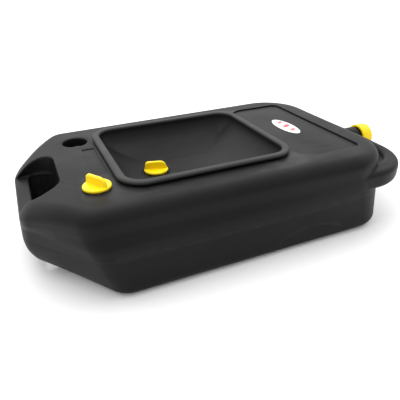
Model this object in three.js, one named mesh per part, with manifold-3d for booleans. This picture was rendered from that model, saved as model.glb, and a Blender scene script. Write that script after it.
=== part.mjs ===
// Portable oil drain pan: a low tank with a catch basin on its deck, two winged screw plugs,
// a carry-handle slot at the nose, and a capped pouring spout inside a loop handle at the other end.
// Millimetres, +Z up. +X runs from the nose to the spout, and the tank is symmetric about the XZ plane.
import * as THREE from "three";
import { mergeVertices } from "three/addons/utils/BufferGeometryUtils.js";
import Module from "manifold-3d";

const wasm = await Module();
wasm.setup();

// ---------------------------------------------------------------- driving dimensions
const wall = 3; // moulded wall thickness
const gap = 0.3; // clearance between two pieces that touch
const past = 5; // how far a cutting solid runs past the face that it opens

const deckHeight = 126; // floor to deck
const seamHeight = 62; // floor to the joint between the two shells
const tankHalfWidth = 168; // widest half width, at the spout end
const noseZone = 128.5; // nose tip to the basin
const basinLength = 265.5;
const panelLength = 110; // basin to the far edge of the panel recess
const endMargin = 43; // panel recess to the end wall
const sideMargin = 53; // basin to the side wall

const deckEdgeRadius = 20; // rounding between the deck and the walls
const noseDrop = 28; // how far the deck falls towards the nose tip
const noseSlopeLength = 74; // length of that fall, which ends before the vent plug
const lapHeight = 5; // tongue of the lower shell inside the upper one
const lapThickness = 1.8;
const lapGap = 0.7; // clearance between the tongue and the upper shell

const slotWidth = 40; // carry-handle slot, along X
const slotHalfThroat = 57; // half its length along Y, below the scoop
const slotCornerRadius = 26;
const gripThickness = 22; // nose tip to the slot
const gripDrop = 30; // deck to the top of the grip bar, which is the scoop's floor
const scoopFlare = 23; // how much wider the scoop is at the deck than the slot, on each side
const scoopTipTaper = 17; // how much narrower it is at the nose tip than the slot, on each side

const loopReach = 52; // end wall to the outside of the loop handle
const loopThickness = 17;
const loopDrop = 29; // deck to the top of the loop
const loopHalfWidth = 166;
const loopCornerRadius = 85;
const loopGapHalfWidth = 133; // hand space inside the loop
const loopGapCornerRadius = 58;
const loopEdgeRadius = 7; // rounding along the loop's bar
const loopDepth = 29; // height of the loop's bar

const rimHeight = 8; // basin rim above the deck
const rimWidth = 12.5;
const basinDepth = 44; // rim to the drain seat
const basinCornerRadius = 38;
const basinFallShare = 0.05; // rise of the basin floor for each millimetre from the drain
const drainFromRim = 80; // basin's nose side to the drain

const ventFromNose = 102; // nose tip to the vent plug and the pocket
const ventFromSide = 80; // side wall to the vent plug and the pocket
const pocketRadius = 19.5;
const pocketDepth = 40;
const lugRadius = 7; // rounded lug on the pocket's lip
const labelRecessWidth = 19;
const labelRecessDepth = 1.2;
const labelGap = 18; // label recess to the vent plug and to the pocket
const panelDepth = 2.5;
const panelEdgeRadius = 12;
const panelNearRadius = 32; // the panel's corners beside the basin

const plugFlangeReach = 4; // how far a plug's flange stands out from its shank
const plugFlangeThickness = 3.6;
const plugShankRadius = 16;
const plugShankLength = 15;
const finHeight = 12;
const finThickness = 6;
const sealThickness = 1.2;
const bushWall = 3;
const bushLength = 16;
const bushFlange = 4; // how far the bush's flange stands out from its tube

const threadPitch = 5;
const ridgeRadius = 1; // half-round thread ridge
const threadPlay = 1.6; // shank to bore, across which the two ridges overlap

const spoutHeight = 81; // floor to the spout's axis
const neckRadius = 19.6;
const neckBoreRadius = 14;
const neckThreadRadius = 17;
const neckShoulder = 59; // end wall to the neck's shoulder
const neckThreadLength = 22;
const capRadius = 22.4;
const capWall = 2.4;
const capStandOff = 5; // neck's shoulder to the cap's skirt
const linerThickness = 1.5;

const stickerLength = 76;
const stickerWidth = 29;
const stickerThickness = 0.4;
const stickerFromCentre = 7; // sideways from the tank's centre plane
const fingerGripRadius = 115; // arc of the finger grip low on each side wall
const fingerGripRise = 33;
const fingerGripDepth = 1.6;
const fingerGripFromEnd = 156; // end wall to the middle of that arc

// ---------------------------------------------------------------- places worked out from them
const tankLength = noseZone + basinLength + panelLength + endMargin;
const noseX = -tankLength / 2;
const endX = tankLength / 2;
const basinMinX = noseX + noseZone;
const basinMaxX = basinMinX + basinLength;
const basinHalfWidth = tankHalfWidth - sideMargin;
const rimTop = deckHeight + rimHeight;
const drainX = basinMinX + drainFromRim;
const drainSeat = rimTop - basinDepth;
const ventX = noseX + ventFromNose;
const ventY = tankHalfWidth - ventFromSide;
const slotMinX = noseX + gripThickness;
const slotMaxX = slotMinX + slotWidth;
const panelMaxX = basinMaxX + panelLength;
const loopTop = deckHeight - loopDrop;
const plugFlangeRadius = plugShankRadius + plugFlangeReach;
const bushBoreRadius = plugShankRadius + threadPlay;
const shoulderX = endX + neckShoulder;
const neckTipX = shoulderX + neckThreadLength;
const capTipX = neckTipX + gap + linerThickness + gap + capWall;
const cornerSteps = 4; // straight steps in each rounded corner
const noseSideSplit = 3; // points along each slanting side of the nose

// ---------------------------------------------------------------- materials
const blackPlastic = new THREE.MeshStandardMaterial({ color: 0x2b2c2e, roughness: 0.55, metalness: 0 });
const yellowPlastic = new THREE.MeshStandardMaterial({ color: 0xffd800, roughness: 0.4, metalness: 0 });
const sealRubber = new THREE.MeshStandardMaterial({ color: 0x151515, roughness: 0.8, metalness: 0 });
const whiteFoam = new THREE.MeshStandardMaterial({ color: 0xe8e6df, roughness: 0.9, metalness: 0 });
const stickerVinyl = new THREE.MeshStandardMaterial({ color: 0xf5f5f5, roughness: 0.3, metalness: 0 });

// ---------------------------------------------------------------- solids from geometry
function toSolid(geometry) {
  const bare = new THREE.BufferGeometry();
  bare.setAttribute("position", geometry.getAttribute("position"));
  bare.setIndex(geometry.index);
  const merged = mergeVertices(bare, 1e-4);
  const corners = merged.index.array;
  const kept = [];
  for (let i = 0; i < corners.length; i += 3) {
    const [a, b, c] = corners.slice(i, i + 3);
    if (a !== b && b !== c && c !== a) kept.push(a, b, c);
  }
  const vertProperties = merged.attributes.position.array;
  return new wasm.Manifold(new wasm.Mesh({ numProp: 3, vertProperties, triVerts: new Uint32Array(kept) }));
}

function addPiece(group, name, solid, material) {
  const { numProp, vertProperties, triVerts } = solid.getMesh();
  const positions = new Float32Array((vertProperties.length / numProp) * 3);
  for (let i = 0; i < positions.length / 3; i++) {
    positions.set(vertProperties.subarray(i * numProp, i * numProp + 3), i * 3);
  }
  const geometry = new THREE.BufferGeometry();
  geometry.setAttribute("position", new THREE.BufferAttribute(positions, 3));
  geometry.setIndex(new THREE.BufferAttribute(triVerts, 1));
  geometry.computeVertexNormals();
  const mesh = new THREE.Mesh(geometry, material);
  mesh.name = name;
  group.add(mesh);
}

// Moves each side of a convex, anticlockwise polygon inwards by inset and returns its new corners.
function insetPolygon(corners, inset) {
  return corners.map((corner, i) => {
    const before = corners[(i + corners.length - 1) % corners.length];
    const after = corners[(i + 1) % corners.length];
    const into = new THREE.Vector2(corner.x - before.x, corner.y - before.y).normalize();
    const away = new THREE.Vector2(after.x - corner.x, after.y - corner.y).normalize();
    const cross = into.x * away.y - into.y * away.x;
    const along = (inset * (1 - into.dot(away))) / cross;
    return {
      x: corner.x - into.x * along - into.y * inset,
      y: corner.y - into.y * along + into.x * inset,
      radius: Math.max(corner.radius - inset, 1),
      split: corner.split ?? 0,
    };
  });
}

// The points of that polygon with each corner rounded by an arc of a fixed number of steps. A corner's
// split is how many more points lie along the side after it.
function roundedOutline(corners, inset = 0) {
  const moved = insetPolygon(corners, inset);
  const arcs = moved.map((corner, i) => {
    const before = moved[(i + moved.length - 1) % moved.length];
    const after = moved[(i + 1) % moved.length];
    const into = new THREE.Vector2(corner.x - before.x, corner.y - before.y).normalize();
    const away = new THREE.Vector2(after.x - corner.x, after.y - corner.y).normalize();
    const turn = Math.acos(THREE.MathUtils.clamp(into.dot(away), -1, 1));
    const reach = corner.radius * Math.tan(turn / 2);
    const centre = new THREE.Vector2(corner.x, corner.y)
      .addScaledVector(into, -reach)
      .add(new THREE.Vector2(-into.y, into.x).multiplyScalar(corner.radius));
    const start = Math.atan2(-into.x, into.y);
    return Array.from({ length: cornerSteps + 1 }, (_, step) => {
      const angle = start + (turn * step) / cornerSteps;
      return new THREE.Vector2(
        centre.x + corner.radius * Math.cos(angle),
        centre.y + corner.radius * Math.sin(angle),
      );
    });
  });
  return arcs.flatMap((arc, i) => {
    const next = arcs[(i + 1) % arcs.length][0];
    const parts = moved[i].split + 1;
    const between = (_, k) => arc.at(-1).clone().lerp(next, (k + 1) / parts);
    return [...arc, ...Array.from({ length: parts - 1 }, between)];
  });
}

// Skins a stack of rings, each an array of as many Vector3, and closes both ends.
function loft(rings) {
  const size = rings[0].length;
  const positions = rings.flatMap((ring) => ring.flatMap((p) => [p.x, p.y, p.z]));
  const index = [];
  for (let level = 0; level + 1 < rings.length; level++) {
    for (let i = 0; i < size; i++) {
      const a = level * size + i;
      const b = level * size + ((i + 1) % size);
      index.push(a, b, b + size, a, b + size, a + size);
    }
  }
  const top = (rings.length - 1) * size;
  const floor = THREE.ShapeUtils.triangulateShape(rings[0], []);
  const ceiling = THREE.ShapeUtils.triangulateShape(rings.at(-1), []);
  floor.forEach(([a, b, c]) => index.push(a, c, b));
  ceiling.forEach(([a, b, c]) => index.push(top + a, top + b, top + c));
  const geometry = new THREE.BufferGeometry();
  geometry.setAttribute("position", new THREE.Float32BufferAttribute(positions, 3));
  geometry.setIndex(index);
  return toSolid(geometry);
}

function flatRing(outline, z) {
  return outline.map((p) => new THREE.Vector3(p.x, p.y, z));
}

// A prism of a plan outline between two heights.
function prism(outline, bottom, top) {
  return loft([flatRing(outline, bottom), flatRing(outline, top)]);
}

// A body of revolution about Z from a closed, anticlockwise profile of [radius, z] points.
function turned(profile, segments = 32) {
  const points = [...profile, profile[0]].map(([radius, z]) => new THREE.Vector2(radius, z));
  return toSolid(new THREE.LatheGeometry(points, segments).rotateX(Math.PI / 2));
}

function cylinder(radius, bottom, top, segments = 32) {
  return turned([[0, bottom], [radius, bottom], [radius, top], [0, top]], segments);
}

// Stands a solid made about Z on the spout's axis, with its +Z along +X.
function alongSpout(solid) {
  return solid.rotate([0, 90, 0]).translate([0, 0, spoutHeight]);
}

class Helix extends THREE.Curve {
  constructor(radius, start, turns) {
    super();
    Object.assign(this, { radius, start, turns });
  }
  getPoint(t, target = new THREE.Vector3()) {
    const turn = t * this.turns;
    const angle = 2 * Math.PI * (turn + this.start / threadPitch);
    return target.set(
      this.radius * Math.cos(angle),
      this.radius * Math.sin(angle),
      this.start + turn * threadPitch,
    );
  }
}

// A half-round thread ridge: its phase depends on its height alone, so two ridges whose starts differ
// by half a pitch stay in mesh.
function threadRidge(radius, start, turns, phase = 0) {
  const section = new THREE.Shape().absarc(0, 0, ridgeRadius, 0, 2 * Math.PI);
  const extrudePath = new Helix(radius, start, turns);
  const options = { steps: Math.round(turns * 16), curveSegments: 3, bevelEnabled: false, extrudePath };
  return toSolid(new THREE.ExtrudeGeometry(section, options)).translate([0, 0, phase * threadPitch]);
}

// ---------------------------------------------------------------- the tank's outer form
// Half of the tank's plan, from the nose to the spout end, at three levels: the foot, the tub and the deck.
const noseCorner = {
  foot: { x: noseX + 41, y: tankHalfWidth - 146, radius: 40 },
  tub: { x: noseX, y: tankHalfWidth - 106, radius: 34 },
  deck: { x: noseX + 2, y: tankHalfWidth - 98, radius: 40 },
  rise: 56,
};
const shoulderCorner = {
  foot: { x: noseX + 114, y: tankHalfWidth - 17, radius: 24 },
  tub: { x: noseX + 101, y: tankHalfWidth - 3, radius: 30 },
  deck: { x: noseX + 73, y: tankHalfWidth - 12, radius: 34 },
  rise: 16,
};
const endCorner = {
  foot: { x: endX - 26, y: tankHalfWidth - 17, radius: 40 },
  tub: { x: endX - 10, y: tankHalfWidth, radius: 46 },
  deck: { x: endX, y: tankHalfWidth, radius: 80 },
  rise: 16,
};
const lapTop = seamHeight + lapHeight;
const upperWall = deckHeight - deckEdgeRadius - lapTop; // from the lap to the deck's rounding
const coveLow = lapTop + 0.23 * upperWall; // the tub's wall starts to lean in here
const coveHigh = lapTop + 0.77 * upperWall; // and reaches the deck's outline here

function mixCorner(a, b, share) {
  return {
    x: THREE.MathUtils.lerp(a.x, b.x, share),
    y: THREE.MathUtils.lerp(a.y, b.y, share),
    radius: THREE.MathUtils.lerp(a.radius, b.radius, share),
  };
}

// Below its rise a corner follows a quarter ellipse from the foot to the tub. Above it, it moves evenly
// along X up to the deck's outline, and along Y only in the cove.
function cornerAt(corner, z) {
  if (z < corner.rise) {
    const left = 1 - z / corner.rise;
    return mixCorner(corner.foot, corner.tub, Math.sqrt(1 - left * left));
  }
  const upper = mixCorner(corner.tub, corner.deck, Math.min((z - corner.rise) / (coveHigh - corner.rise), 1));
  const cove = THREE.MathUtils.smoothstep(z, coveLow, coveHigh);
  upper.y = THREE.MathUtils.lerp(corner.tub.y, corner.deck.y, cove);
  return upper;
}

// The tank's plan polygon at a height, anticlockwise. Its two slanting nose sides are split, to follow
// the deck's fall.
function tankCorners(z) {
  const [nose, shoulder, end] = [noseCorner, shoulderCorner, endCorner].map((corner) => cornerAt(corner, z));
  const inFront = (corner) => ({ ...corner, y: -corner.y });
  return [
    { ...inFront(nose), split: noseSideSplit },
    inFront(shoulder),
    inFront(end),
    end,
    { ...shoulder, split: noseSideSplit },
    nose,
  ];
}

// How far the deck has fallen at x.
function noseFall(x) {
  const left = THREE.MathUtils.clamp(1 - (x - noseX) / noseSlopeLength, 0, 1);
  return noseDrop * left * left;
}

// Lowers a point by the nose's fall, fully at the deck and not at all below the cove.
function withNoseFall(point) {
  const share = Math.max(point.z - coveLow, 0) / (deckHeight - coveLow);
  return new THREE.Vector3(point.x, point.y, point.z - noseFall(point.x) * share);
}

function tankRing(z, inset) {
  return flatRing(roundedOutline(tankCorners(z), inset), z).map(withNoseFall);
}

// Levels of the rounded deck edge, and the flat rings inside it that carry the nose's fall.
function deckRings(top, radius, inset) {
  const rounding = [0, 0.25, 0.45, 0.65, 0.85, 1].map((share) => {
    const angle = (share * Math.PI) / 2;
    return tankRing(top - radius * (1 - Math.sin(angle)), inset + radius * (1 - Math.cos(angle)));
  });
  const flats = [12, 25, 40, 58, 80].map((step) => tankRing(top, inset + radius + step));
  return [...rounding, ...flats];
}

function upperForm(bottom, top, inset) {
  const walls = [bottom, coveLow, coveLow + 7, coveLow + 14, coveHigh].map((z) => tankRing(z, inset));
  return loft([...walls, ...deckRings(top, deckEdgeRadius - inset, inset)]);
}

function lowerForm(bottom, top, inset) {
  const footLevels = [0, 0.08, 0.3, 0.65, 1].map((share) => share * endCorner.rise);
  const levels = [...footLevels, 24, 34, noseCorner.rise, top];
  return loft(levels.map((z) => flatRing(roundedOutline(tankCorners(z), inset), Math.max(z, bottom))));
}

// ---------------------------------------------------------------- cutters shared by both shells
// The carry-handle slot, with a wall's thickness added all round it where grown asks for one. Above the
// grip bar it opens into a dished scoop, which widens towards the deck and narrows to the nose tip.
function handleSlot(grown, bottom, top) {
  const outline = (minX, tipReach, reach) =>
    roundedOutline(
      [
        { x: minX, y: -tipReach, radius: 7 },
        { x: slotMaxX, y: -reach, radius: slotCornerRadius },
        { x: slotMaxX, y: reach, radius: slotCornerRadius },
        { x: minX, y: tipReach, radius: 7 },
      ],
      -grown,
    );
  const gripTop = deckHeight - gripDrop - grown;
  const tube = prism(outline(slotMinX, slotHalfThroat, slotHalfThroat), bottom, Math.min(gripTop + 1, top));
  if (top < gripTop) return tube;
  const dish = [0, 15, 32, 50, 70, 90].map((angle) => {
    const turn = THREE.MathUtils.degToRad(angle);
    const reach = slotHalfThroat + scoopFlare * Math.sin(turn);
    const tipReach = slotHalfThroat - scoopTipTaper * Math.sin(turn);
    return flatRing(outline(noseX - past, tipReach, reach), gripTop + gripDrop * (1 - Math.cos(turn)));
  });
  const above = dish.at(-1).map((point) => new THREE.Vector3(point.x, point.y, top));
  return tube.add(loft([...dish, above]));
}

function panelOutline(grown) {
  const corners = [
    { x: basinMaxX + gap, y: -basinHalfWidth - 6, radius: panelNearRadius },
    { x: panelMaxX, y: -basinHalfWidth - 6, radius: panelEdgeRadius },
    { x: panelMaxX, y: basinHalfWidth + 6, radius: panelEdgeRadius },
    { x: basinMaxX + gap, y: basinHalfWidth + 6, radius: panelNearRadius },
  ];
  return roundedOutline(corners, -grown);
}

function labelOutline() {
  const reach = ventY - plugFlangeRadius - labelGap;
  const middle = ventX + plugFlangeRadius - labelRecessWidth / 2 + 3;
  const side = labelRecessWidth / 2;
  return roundedOutline([
    { x: middle - side, y: -reach, radius: 2.5 },
    { x: middle + side, y: -reach, radius: 2.5 },
    { x: middle + side, y: reach, radius: 2.5 },
    { x: middle - side, y: reach, radius: 2.5 },
  ]);
}

function basinCorners() {
  return [
    { x: basinMinX, y: -basinHalfWidth, radius: basinCornerRadius },
    { x: basinMaxX, y: -basinHalfWidth, radius: basinCornerRadius },
    { x: basinMaxX, y: basinHalfWidth, radius: basinCornerRadius },
    { x: basinMinX, y: basinHalfWidth, radius: basinCornerRadius },
  ];
}

// ---------------------------------------------------------------- tank shells
function loopHandle() {
  const outerX = endX + loopReach;
  const ring = (rootX, farX, halfWidth, radius) => [
    { x: rootX, y: -halfWidth, radius: 10 },
    { x: farX - 6, y: -halfWidth, radius },
    { x: farX, y: 0, radius: 400 },
    { x: farX - 6, y: halfWidth, radius },
    { x: rootX, y: halfWidth, radius: 10 },
  ];
  const outside = ring(endX - 95, outerX, loopHalfWidth, loopCornerRadius);
  const inside = ring(endX - 40, outerX - loopThickness, loopGapHalfWidth, loopGapCornerRadius);
  const bottom = loopTop - loopDepth;
  const edge = Math.min(loopEdgeRadius, (loopTop - bottom) / 2 - 1, loopThickness / 2 - 1);
  const shape = new THREE.Shape(roundedOutline(outside, edge));
  shape.holes.push(new THREE.Path(roundedOutline(inside, -edge).reverse()));
  const bar = new THREE.ExtrudeGeometry(shape, {
    depth: loopTop - bottom - 2 * edge,
    bevelThickness: edge,
    bevelSize: edge,
    bevelSegments: 3,
  });
  bar.translate(0, 0, bottom + edge);
  const saddleRadius = neckRadius + 7;
  const saddle = alongSpout(cylinder(saddleRadius, outerX - loopThickness + 1, outerX - 1));
  const above = prism(boxOutline(endX, capTipX, -saddleRadius - 1, saddleRadius + 1), spoutHeight, rimTop);
  const neckWay = alongSpout(cylinder(neckRadius + gap, endX, capTipX));
  return toSolid(bar).add(saddle.subtract(above)).subtract(neckWay).subtract(lowerForm(0, seamHeight, -gap));
}

function boxOutline(minX, maxX, minY, maxY) {
  const corners = [[minX, minY], [maxX, minY], [maxX, maxY], [minX, maxY]];
  return corners.map(([x, y]) => new THREE.Vector2(x, y));
}

function pocket(grown) {
  return cylinder(pocketRadius + grown, deckHeight - pocketDepth - grown, deckHeight + past)
    .translate([ventX, ventY, 0]);
}

function pocketLug() {
  return cylinder(lugRadius, deckHeight - 6, deckHeight - 0.4, 24)
    .translate([ventX, ventY - pocketRadius - lugRadius + 4.5, 0]);
}

// A shallow arched finger grip in a side wall, with its mouth at the floor.
function fingerGrip(side) {
  const from = shoulderCorner.tub;
  const to = endCorner.tub;
  const middle = endX - fingerGripFromEnd;
  const wallY = THREE.MathUtils.mapLinear(middle, from.x, to.x, from.y, to.y);
  const lean = THREE.MathUtils.radToDeg(Math.atan2(to.y - from.y, to.x - from.x));
  const disc = cylinder(fingerGripRadius, -fingerGripDepth, past, 96)
    .rotate([90, 0, 0])
    .translate([0, 0, fingerGripRise - fingerGripRadius])
    .rotate([0, 0, -lean])
    .translate([middle, -wallY, 0]);
  return side < 0 ? disc : disc.mirror([0, 1, 0]);
}

function tankUpperShell() {
  const spoutBoss = alongSpout(cylinder(neckRadius + 2, endX - 2 * wall, endX + 1.5));
  const belowSeam = prism(boxOutline(noseX, endX + loopReach, -tankHalfWidth, tankHalfWidth), 0, seamHeight);
  const ventBore = cylinder(bushBoreRadius + gap, deckHeight - wall - past, deckHeight + past)
    .translate([ventX, -ventY, 0]);
  const body = upperForm(seamHeight, deckHeight, 0)
    .add(loopHandle())
    .add(spoutBoss.subtract(belowSeam));
  const hollow = upperForm(seamHeight - past, deckHeight - wall, wall)
    .subtract(handleSlot(wall, 0, deckHeight - wall))
    .subtract(prism(panelOutline(wall), deckHeight - panelDepth - wall, deckHeight))
    .subtract(pocket(wall));
  return body
    .subtract(hollow)
    .subtract(handleSlot(0, 0, deckHeight + past))
    .subtract(prism(panelOutline(0), deckHeight - panelDepth, deckHeight + past))
    .subtract(prism(labelOutline(), deckHeight - labelRecessDepth, deckHeight + past))
    .subtract(prism(roundedOutline(basinCorners(), rimWidth - wall), seamHeight, deckHeight + past))
    .subtract(pocket(0))
    .add(pocketLug())
    .subtract(ventBore)
    .subtract(alongSpout(cylinder(neckBoreRadius + wall + gap, endX - 4 * wall, endX + past)));
}

function tankLowerShell() {
  const rim = seamHeight - gap;
  const lapBottom = rim - lapHeight;
  const lapRing = (inset, low, high) =>
    loft([low, high].map((z) => flatRing(roundedOutline(tankCorners(z), inset), z)));
  const innerInset = wall + lapGap + lapThickness;
  const tub = lowerForm(0, rim, 0).subtract(lowerForm(wall, rim + past, wall));
  const lap = lapRing(wall + lapGap, rim - 1, lapTop)
    .add(lapRing(wall - 1, lapBottom, rim - 0.5))
    .subtract(lapRing(innerInset, lapBottom - past, lapTop + past));
  const slotTube = handleSlot(wall, 0, rim).intersect(lowerForm(0, rim, 0));
  return tub
    .add(lap)
    .add(slotTube)
    .subtract(handleSlot(wall + gap, seamHeight - gap, deckHeight - wall))
    .subtract(handleSlot(0, -past, deckHeight))
    .subtract(alongSpout(cylinder(neckBoreRadius + wall + gap, endX - 4 * wall, endX)))
    .subtract(fingerGrip(-1))
    .subtract(fingerGrip(1));
}

// ---------------------------------------------------------------- basin
// The basin floor rises gently away from the drain.
function floorHeight(point) {
  const away = Math.hypot(point.x - drainX, point.y) - plugFlangeRadius;
  return Math.max(away, 0) * basinFallShare;
}

function basinRing(inset, z, tilt) {
  return flatRing(roundedOutline(basinCorners(), inset), z).map((point) => {
    point.z += tilt * floorHeight(point);
    return point;
  });
}

function basinTray() {
  const top = rimTop;
  const floor = drainSeat;
  // Each entry of the curve is [inset from the rim's inside, share of the depth, share of the floor's
  // rise], and each entry of the profiles is [inset from the rim's outside, height, share of that rise].
  const curve = [
    [0, 0.1, 0], [3, 0.3, 0.1], [8, 0.5, 0.2], [17, 0.7, 0.45], [29, 0.84, 0.7], [45, 0.945, 0.9], [70, 1, 1],
  ];
  const bowl = [
    [1.2, top - 0.5, 0], [3, top, 0], [rimWidth - 4, top, 0], [rimWidth - 1.2, top - 1, 0],
    ...curve.map(([inset, share, tilt]) => [rimWidth + inset, top - share * basinDepth, tilt]),
  ];
  const under = [
    [wall, deckHeight + gap, 0], [wall, top - wall, 0], [rimWidth - wall, top - wall, 0],
    [rimWidth - wall + 0.6, deckHeight, 0],
    ...curve.slice(1).map(([inset, share, tilt]) => {
      const lean = wall * Math.max(1 - share, 0);
      return [rimWidth + inset - lean, top - share * basinDepth - wall * Math.min(share + 0.25, 1), tilt];
    }),
  ];
  const rings = [...under.reverse(), [0, deckHeight + gap, 0], [0, top - 1.6, 0], ...bowl];
  const seatRadius = plugFlangeRadius + 2;
  return loft(rings.map(([inset, z, tilt]) => basinRing(inset, z, tilt)))
    .subtract(cylinder(seatRadius, floor, top).translate([drainX, 0, 0]))
    .add(cylinder(seatRadius, floor - wall, floor).translate([drainX, 0, 0]))
    .subtract(cylinder(bushBoreRadius + gap, floor - 2 * wall, top).translate([drainX, 0, 0]));
}

// ---------------------------------------------------------------- plugs, seals and bushes
// All are made about Z with the seat that the plug closes at z = 0.
function plugBush() {
  const top = -wall - gap;
  const bore = bushBoreRadius;
  const outer = bore + bushWall;
  const profile = [
    [bore, top - bushLength], [outer, top - bushLength], [outer, top - bushWall],
    [outer + bushFlange, top - bushWall], [outer + bushFlange, top], [bore, top],
  ];
  return turned(profile).add(threadRidge(bore, top - bushLength + 2.5, 2, 0.5));
}

function plugSeal() {
  return turned([
    [plugShankRadius + gap, gap], [plugFlangeRadius - 1.2, gap],
    [plugFlangeRadius - 1.2, gap + sealThickness], [plugShankRadius + gap, gap + sealThickness],
  ]);
}

function winglessPlug() {
  const under = 2 * gap + sealThickness;
  const face = under + plugFlangeThickness;
  const bottom = under - plugShankLength - wall;
  const hollow = plugShankRadius - 2.6;
  return turned([
    [0, under], [hollow, under], [hollow, bottom],
    [plugShankRadius - 1, bottom], [plugShankRadius, bottom + 1.5], [plugShankRadius, under],
    [plugFlangeRadius - 0.8, under], [plugFlangeRadius, under + 1],
    [plugFlangeRadius, face - 1.4], [plugFlangeRadius - 1.4, face], [0, face],
  ]);
}

function plugFin() {
  const base = 2 * gap + sealThickness + plugFlangeThickness - 1;
  const foot = plugFlangeRadius - 2.5; // half the fin's length at its foot
  const waist = foot - 2; // and at half its height
  const side = new THREE.Shape();
  side.moveTo(-foot, 0);
  side.lineTo(foot, 0);
  side.lineTo(waist, finHeight / 2);
  side.quadraticCurveTo(waist - 1.3, finHeight + 1, waist / 2, finHeight + 1);
  side.lineTo(-waist / 2, finHeight + 1);
  side.quadraticCurveTo(1.3 - waist, finHeight + 1, -waist, finHeight / 2);
  const bevel = 1.2;
  const fin = new THREE.ExtrudeGeometry(side, {
    depth: finThickness - 2 * bevel,
    curveSegments: 4,
    bevelThickness: bevel,
    bevelSize: bevel,
    bevelOffset: -bevel,
    bevelSegments: 2,
  });
  fin.translate(0, 0, bevel - finThickness / 2).rotateX(Math.PI / 2).translate(0, 0, base);
  return toSolid(fin);
}

function wingPlug() {
  const start = -wall - plugShankLength + 4.5;
  return winglessPlug().add(plugFin()).add(threadRidge(plugShankRadius, start, 2));
}

// ---------------------------------------------------------------- spout
function spoutNeck() {
  const seat = endX + 1.5 + gap;
  const spigot = neckBoreRadius + wall;
  const thread = neckThreadRadius;
  const profile = [
    [neckBoreRadius, endX - 3 * wall], [spigot, endX - 3 * wall], [spigot, seat], [neckRadius, seat],
    [neckRadius, shoulderX - 1.5], [neckRadius - 1.5, shoulderX], [thread, shoulderX],
    [thread, neckTipX - 1], [thread - 1, neckTipX], [neckBoreRadius, neckTipX],
  ];
  return alongSpout(turned(profile).add(threadRidge(thread, neckTipX - 14.5, 2, 0.5)));
}

function spoutCap() {
  const bore = neckThreadRadius + threadPlay;
  const skirt = shoulderX + capStandOff;
  const inside = capTipX - capWall;
  const profile = [
    [0, inside], [bore, inside], [bore, skirt], [capRadius - 0.8, skirt], [capRadius, skirt + 0.8],
    [capRadius, capTipX - 2], [capRadius - 0.6, capTipX - 0.6], [capRadius - 2, capTipX], [0, capTipX],
  ];
  return alongSpout(turned(profile).add(threadRidge(bore, neckTipX - 14.5, 2)));
}

function spoutCapLiner() {
  const low = neckTipX + gap;
  return alongSpout(cylinder(neckThreadRadius - 0.2, low, low + linerThickness));
}

function ovalSticker() {
  const outline = new THREE.Shape().absellipse(0, 0, stickerWidth / 2, stickerLength / 2, 0, 2 * Math.PI);
  const options = { depth: stickerThickness, curveSegments: 40, bevelEnabled: false };
  return toSolid(new THREE.ExtrudeGeometry(outline, options)).translate([
    basinMaxX + panelLength / 2 + 3,
    stickerFromCentre,
    deckHeight - panelDepth + gap,
  ]);
}

// ---------------------------------------------------------------- assembly
const tank = new THREE.Group();
addPiece(tank, "tank_upper_shell", tankUpperShell(), blackPlastic);
addPiece(tank, "tank_lower_shell", tankLowerShell(), blackPlastic);
addPiece(tank, "basin_tray", basinTray(), blackPlastic);
addPiece(tank, "oval_sticker", ovalSticker(), stickerVinyl);

const basinDrain = new THREE.Group();
basinDrain.position.set(drainX, 0, drainSeat);
addPiece(basinDrain, "basin_drain_bush", plugBush(), blackPlastic);
addPiece(basinDrain, "basin_plug_seal", plugSeal(), sealRubber);
addPiece(basinDrain, "basin_plug", wingPlug().rotate([0, 0, -15]), yellowPlastic);

const vent = new THREE.Group();
vent.position.set(ventX, -ventY, deckHeight);
addPiece(vent, "vent_bush", plugBush(), blackPlastic);
addPiece(vent, "vent_plug_seal", plugSeal(), sealRubber);
addPiece(vent, "vent_plug", wingPlug().rotate([0, 0, -57]), yellowPlastic);

const spout = new THREE.Group();
addPiece(spout, "spout_neck", spoutNeck(), blackPlastic);
addPiece(spout, "spout_cap_liner", spoutCapLiner(), whiteFoam);
addPiece(spout, "spout_cap", spoutCap(), yellowPlastic);

// The origin is on the floor below the middle of the whole object, from the nose tip to the cap.
const oilDrainPan = new THREE.Group();
oilDrainPan.position.x = -(noseX + capTipX) / 2;
oilDrainPan.add(tank, basinDrain, vent, spout);

export default oilDrainPan;
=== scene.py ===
"""Oil drain pan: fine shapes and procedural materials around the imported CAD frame.

Shapes are in millimetres and Blender is in metres. +Z is up, and +X runs from the nose to the spout.
"""
import math

import bmesh
import bpy
import numpy as np
from mathutils import Matrix, Vector


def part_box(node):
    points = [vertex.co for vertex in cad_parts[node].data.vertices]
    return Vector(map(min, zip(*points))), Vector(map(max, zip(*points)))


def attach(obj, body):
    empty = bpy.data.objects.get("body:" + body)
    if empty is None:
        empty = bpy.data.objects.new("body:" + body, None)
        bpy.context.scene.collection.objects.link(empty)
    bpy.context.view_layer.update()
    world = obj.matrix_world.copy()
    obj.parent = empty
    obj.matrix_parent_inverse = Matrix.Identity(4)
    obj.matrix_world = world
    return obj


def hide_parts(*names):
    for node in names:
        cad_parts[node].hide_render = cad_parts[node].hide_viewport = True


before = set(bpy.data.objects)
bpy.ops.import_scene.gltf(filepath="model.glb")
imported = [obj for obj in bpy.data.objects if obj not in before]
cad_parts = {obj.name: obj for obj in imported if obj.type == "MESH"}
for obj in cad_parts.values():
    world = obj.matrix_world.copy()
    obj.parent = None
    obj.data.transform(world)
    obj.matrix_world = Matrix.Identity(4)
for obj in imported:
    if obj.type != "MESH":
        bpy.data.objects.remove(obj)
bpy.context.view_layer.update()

# ---------------------------------------------------------------- driving dimensions, in mm
WALL = 3
GAP = 0.3
SEAM_GAP = 0.2  # the two shells meet more closely than other pieces
PAST = 5  # how far a cutter runs past the face that it opens

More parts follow.
